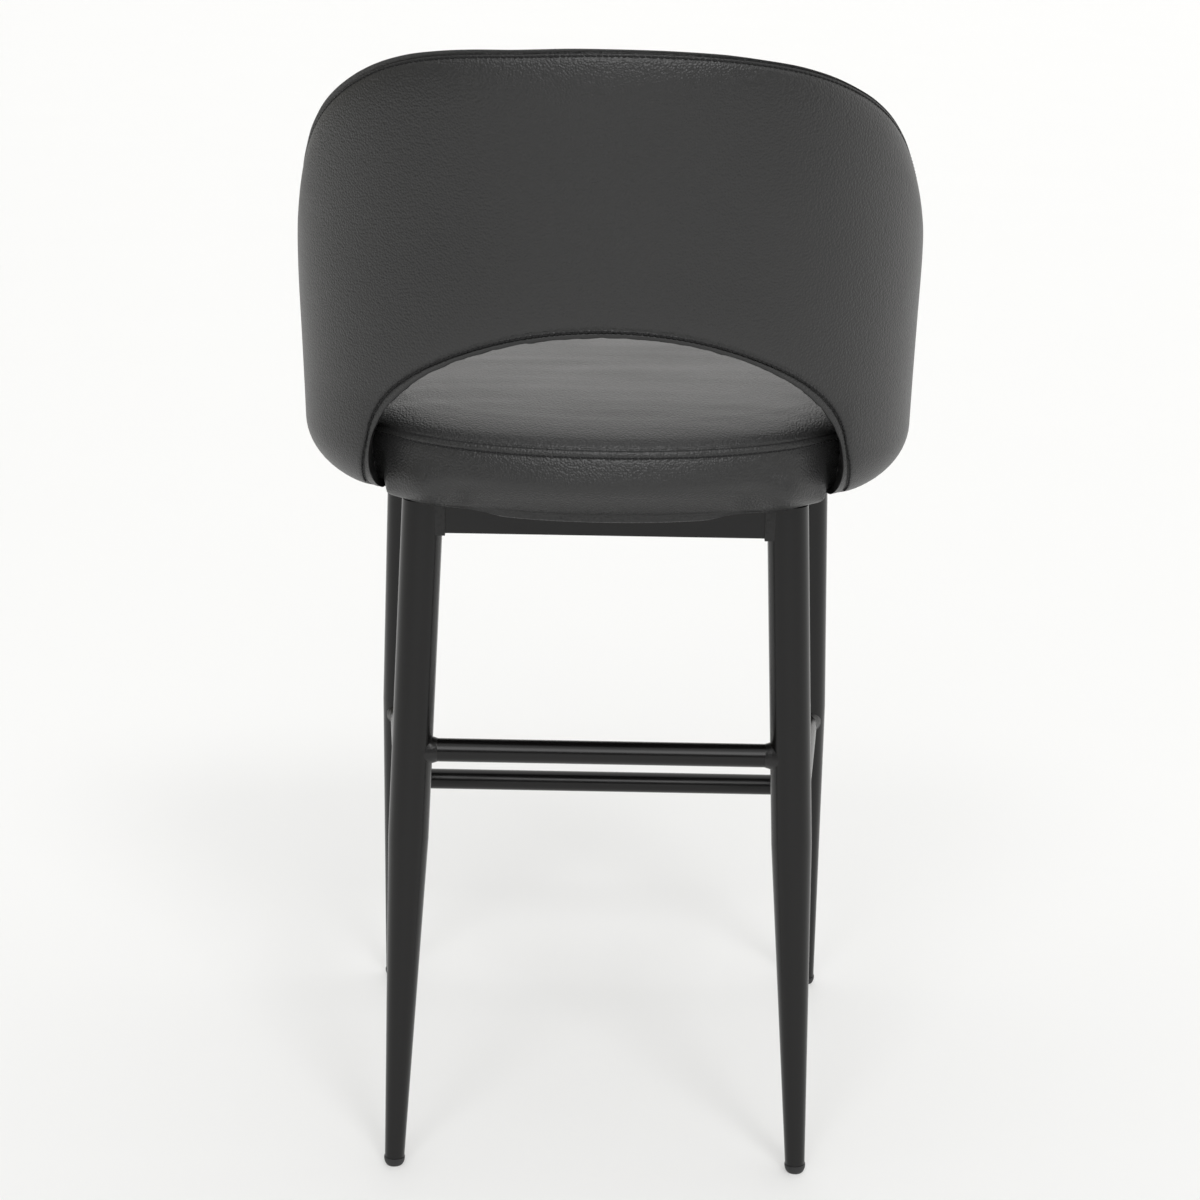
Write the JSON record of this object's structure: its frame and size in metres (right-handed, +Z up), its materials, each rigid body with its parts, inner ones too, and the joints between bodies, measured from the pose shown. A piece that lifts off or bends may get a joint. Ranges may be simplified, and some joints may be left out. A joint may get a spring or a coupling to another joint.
{
  "type": "bar stool with footrest",
  "caption": "Upholstered tub-back bar stool: padded seat, wraparound back with an open arch, and a welded black tube frame with stretchers and a footrest.",
  "frame": {"origin": "on the floor, under the middle of the outer box", "axes": "+Z up; the sitter faces -Y, so the back is at +Y; +X is the sitter's left"},
  "size_m": [0.5734, 0.5526, 1.075],
  "materials": {
    "frame_steel": "satin black powder coat",
    "weld": "powder coated weld bead",
    "glide": "moulded, slightly worn",
    "plate_steel": "satin black powder coat",
    "bolt": "zinc plated",
    "washer": "zinc plated",
    "tee_nut": "zinc plated",
    "bracket_steel": "zinc plated",
    "screw": "zinc plated",
    "dust_cloth": "spun-bonded cloth",
    "plywood": "bare birch plywood",
    "seat_foam": "open-cell foam",
    "back_foam": "open-cell foam",
    "edge_foam": "open-cell foam",
    "core": "moulded plywood shell",
    "vinyl": "coated fabric with a fine pebbled grain"
  },
  "bodies": {
    "root": {"leg_front_left": "frame_steel", "glide_front_left": "glide", "leg_front_right": "frame_steel", "glide_front_right": "glide", "leg_rear_left": "frame_steel", "glide_rear_left": "glide", "leg_rear_right": "frame_steel", "glide_rear_right": "glide", "apron_front": "frame_steel", "apron_rear": "frame_steel", "apron_left": "frame_steel", "apron_right": "frame_steel", "footrest_front": "frame_steel", "stretcher_rear": "frame_steel", "stretcher_left": "frame_steel", "stretcher_right": "frame_steel", "rail_welds": "weld", "apron_welds": "weld", "mounting_plates": "plate_steel", "seat_bolts": "bolt", "seat_washers": "washer", "tee_nuts": "tee_nut", "dust_cover": "dust_cloth", "seat_board": "plywood", "shell_brackets": "bracket_steel", "bracket_screws": "screw", "seat_foam": "seat_foam", "seat_side_band": "vinyl", "seat_top_panel": "vinyl", "back_outer_cover": "vinyl", "back_inner_cover": "vinyl", "back_outer_foam": "back_foam", "back_inner_foam": "back_foam", "back_core": "core", "back_edge_foam": "edge_foam", "back_edge_facing": "vinyl"}
  },
  "joints": []
}
